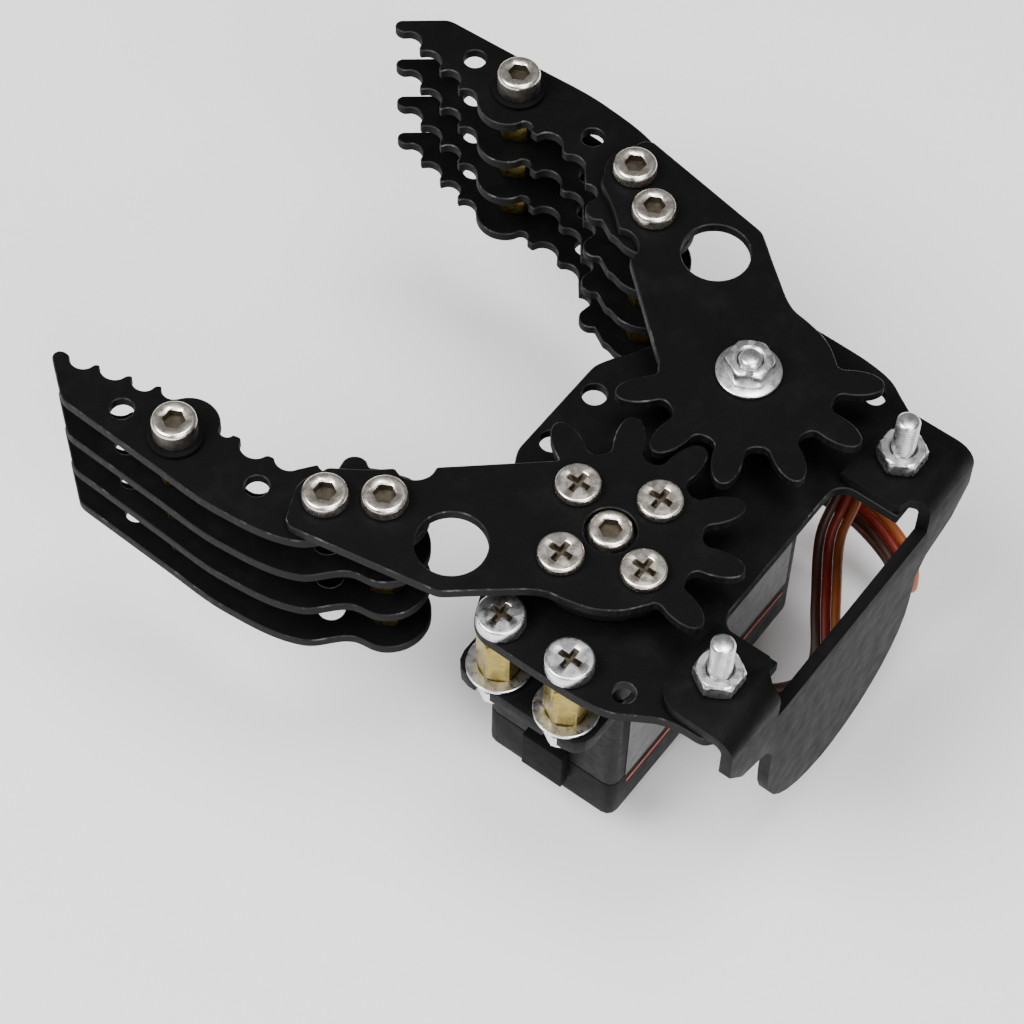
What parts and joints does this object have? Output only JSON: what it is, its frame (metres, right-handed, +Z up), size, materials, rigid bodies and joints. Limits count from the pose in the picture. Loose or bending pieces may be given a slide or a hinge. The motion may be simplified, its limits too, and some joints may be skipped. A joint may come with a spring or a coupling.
{
  "type": "robot arm gripper",
  "caption": "Servo driven two finger robot arm gripper in black sheet metal: meshed gear arms carry stacked toothed finger plates over a base plate with a folded wrist bracket.",
  "frame": {"origin": "middle of the wrist face, the outer rear face of the folded bracket", "axes": "+X across the fingers towards the idler gear, +Y along the fingers to their tips, +Z up the servo shaft, out of the gear arms' top"},
  "size_m": [0.0786, 0.0966, 0.0563],
  "materials": {
    "base_plate": "satin black coating",
    "bracket_bolt_left": "bright zinc plate",
    "bracket_bolt_right": "bright zinc plate",
    "bracket_nut_left": "bright zinc plate",
    "bracket_nut_right": "bright zinc plate",
    "horn_centre_screw": "polished nickel plate",
    "horn_screw_1": "polished nickel plate",
    "horn_screw_2": "polished nickel plate",
    "horn_screw_3": "polished nickel plate",
    "horn_screw_4": "polished nickel plate",
    "idler_bolt": "bright zinc plate",
    "idler_bush": "machined brass",
    "idler_nut": "bright zinc plate",
    "left_finger_plate_1": "satin black coating",
    "left_finger_plate_2": "satin black coating",
    "left_finger_plate_3": "satin black coating",
    "left_finger_plate_4": "satin black coating",
    "left_gear_arm": "satin black coating",
    "left_middle_bolt": "polished nickel plate",
    "left_root_bolt": "polished nickel plate",
    "left_root_spacer_1": "machined brass",
    "left_root_spacer_2": "machined brass",
    "left_root_spacer_3": "machined brass",
    "left_tip_bolt": "polished nickel plate",
    "left_tip_spacer_1": "machined brass",
    "left_tip_spacer_2": "machined brass",
    "left_tip_spacer_3": "machined brass",
    "rear_bracket": "satin black coating",
    "right_finger_plate_1": "satin black coating",
    "right_finger_plate_2": "satin black coating",
    "right_finger_plate_3": "satin black coating",
    "right_finger_plate_4": "satin black coating",
    "right_gear_arm": "satin black coating",
    "right_middle_bolt": "polished nickel plate",
    "right_root_bolt": "polished nickel plate",
    "right_root_spacer_1": "machined brass",
    "right_root_spacer_2": "machined brass",
    "right_root_spacer_3": "machined brass",
    "right_tip_bolt": "polished nickel plate",
    "right_tip_spacer_1": "machined brass",
    "right_tip_spacer_2": "machined brass",
    "right_tip_spacer_3": "machined brass",
    "servo_board": "solder mask",
    "servo_horn": "black anodised, machined",
    "servo_lead": "flexible cable insulation",
    "servo_lead_boot": "moulded rubber",
    "servo_lead_plug": "moulded rubber",
    "servo_lower_cover": "fine grained matte plastic",
    "servo_middle_case": "fine grained matte plastic",
    "servo_motor": "drawn steel can",
    "servo_output_shaft": "machined brass",
    "servo_screw_1": "bright zinc plate",
    "servo_screw_2": "bright zinc plate",
    "servo_screw_3": "bright zinc plate",
    "servo_screw_4": "bright zinc plate",
    "servo_standoff_1": "machined brass",
    "servo_standoff_2": "machined brass",
    "servo_standoff_3": "machined brass",
    "servo_standoff_4": "machined brass",
    "servo_upper_cover": "fine grained matte plastic"
  },
  "bodies": {
    "base": {"base_plate": "base_plate", "bracket_bolt_left": "bracket_bolt_left", "bracket_bolt_right": "bracket_bolt_right", "bracket_nut_left": "bracket_nut_left", "bracket_nut_right": "bracket_nut_right", "idler_bolt": "idler_bolt", "idler_bush": "idler_bush", "idler_nut": "idler_nut", "rear_bracket": "rear_bracket", "servo_board": "servo_board", "servo_lead": "servo_lead", "servo_lead_boot": "servo_lead_boot", "servo_lead_plug": "servo_lead_plug", "servo_lower_cover": "servo_lower_cover", "servo_middle_case": "servo_middle_case", "servo_motor": "servo_motor", "servo_screw_1": "servo_screw_1", "servo_screw_2": "servo_screw_2", "servo_screw_3": "servo_screw_3", "servo_screw_4": "servo_screw_4", "servo_standoff_1": "servo_standoff_1", "servo_standoff_2": "servo_standoff_2", "servo_standoff_3": "servo_standoff_3", "servo_standoff_4": "servo_standoff_4", "servo_upper_cover": "servo_upper_cover"},
    "left_jaw": {"horn_centre_screw": "horn_centre_screw", "horn_screw_1": "horn_screw_1", "horn_screw_2": "horn_screw_2", "horn_screw_3": "horn_screw_3", "horn_screw_4": "horn_screw_4", "left_finger_plate_1": "left_finger_plate_1", "left_finger_plate_2": "left_finger_plate_2", "left_finger_plate_3": "left_finger_plate_3", "left_finger_plate_4": "left_finger_plate_4", "left_gear_arm": "left_gear_arm", "left_middle_bolt": "left_middle_bolt", "left_root_bolt": "left_root_bolt", "left_root_spacer_1": "left_root_spacer_1", "left_root_spacer_2": "left_root_spacer_2", "left_root_spacer_3": "left_root_spacer_3", "left_tip_bolt": "left_tip_bolt", "left_tip_spacer_1": "left_tip_spacer_1", "left_tip_spacer_2": "left_tip_spacer_2", "left_tip_spacer_3": "left_tip_spacer_3", "servo_horn": "servo_horn", "servo_output_shaft": "servo_output_shaft"},
    "right_jaw": {"right_finger_plate_1": "right_finger_plate_1", "right_finger_plate_2": "right_finger_plate_2", "right_finger_plate_3": "right_finger_plate_3", "right_finger_plate_4": "right_finger_plate_4", "right_gear_arm": "right_gear_arm", "right_middle_bolt": "right_middle_bolt", "right_root_bolt": "right_root_bolt", "right_root_spacer_1": "right_root_spacer_1", "right_root_spacer_2": "right_root_spacer_2", "right_root_spacer_3": "right_root_spacer_3", "right_tip_bolt": "right_tip_bolt", "right_tip_spacer_1": "right_tip_spacer_1", "right_tip_spacer_2": "right_tip_spacer_2", "right_tip_spacer_3": "right_tip_spacer_3"}
  },
  "joints": [
    {"name": "left_jaw_hinge", "type": "hinge", "parent": "base", "child": "left_jaw", "pos_m": [-0.01315, 0.027, 0.022], "axis": [0, 0, 1], "range_deg": [-26, 19]},
    {"name": "right_jaw_hinge", "type": "hinge", "parent": "base", "child": "right_jaw", "pos_m": [0.01545, 0.027, 0.022], "axis": [0, 0, 1], "range_deg": [-19, 26]}
  ],
  "couplings": [
    {"joint": "right_jaw_hinge", "follows": "left_jaw_hinge", "ratio": -1}
  ]
}
